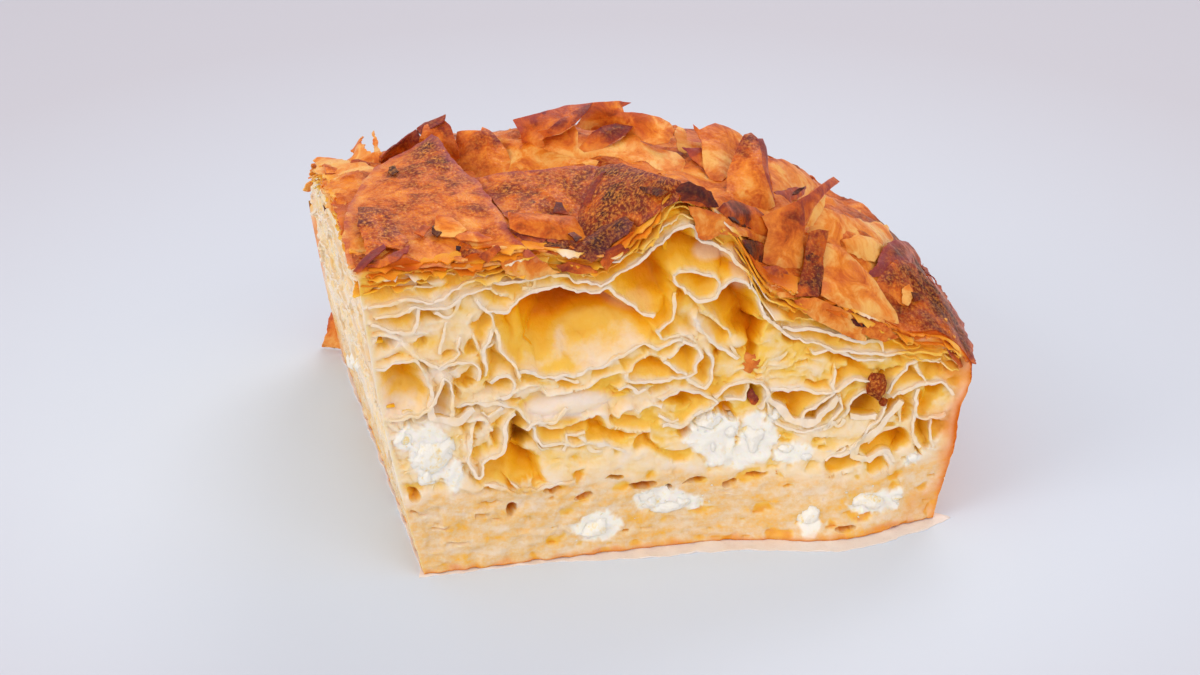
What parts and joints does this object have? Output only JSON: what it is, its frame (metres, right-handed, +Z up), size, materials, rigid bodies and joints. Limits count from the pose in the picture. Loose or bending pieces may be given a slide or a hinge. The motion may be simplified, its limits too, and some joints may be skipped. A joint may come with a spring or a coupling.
{
  "type": "gibanica slice",
  "caption": "Corner slice of gibanica, a savoury pie of crumpled phyllo sheets, egg custard and white cheese, with a domed flaky crust.",
  "frame": {"origin": "middle of the slice's box, on the flat base", "axes": "+X to the right along the front cut, +Y back towards the browned pan edge, +Z up"},
  "size_m": [0.1072, 0.099, 0.0675],
  "materials": {
    "pastry": "baked phyllo, golden to dark brown, semi-gloss crust",
    "custard": "moist egg and soaked phyllo, satin",
    "bottom_phyllo": "thin baked sheet, satin",
    "cheese": "crumbly white cheese, matt"
  },
  "bodies": {
    "root": {"pastry": "pastry", "custard_layer": "custard", "bottom_sheet": "bottom_phyllo", "cheese_left": "cheese", "cheese_right": "cheese", "cheese_bottom": "cheese", "cheese_low_mid": "cheese", "cheese_low_right": "cheese", "cheese_foot_right": "cheese", "cheese_pale_mid": "cheese", "cheese_side_low": "cheese", "cheese_side_mid": "cheese", "cheese_side_back": "cheese"}
  },
  "joints": []
}
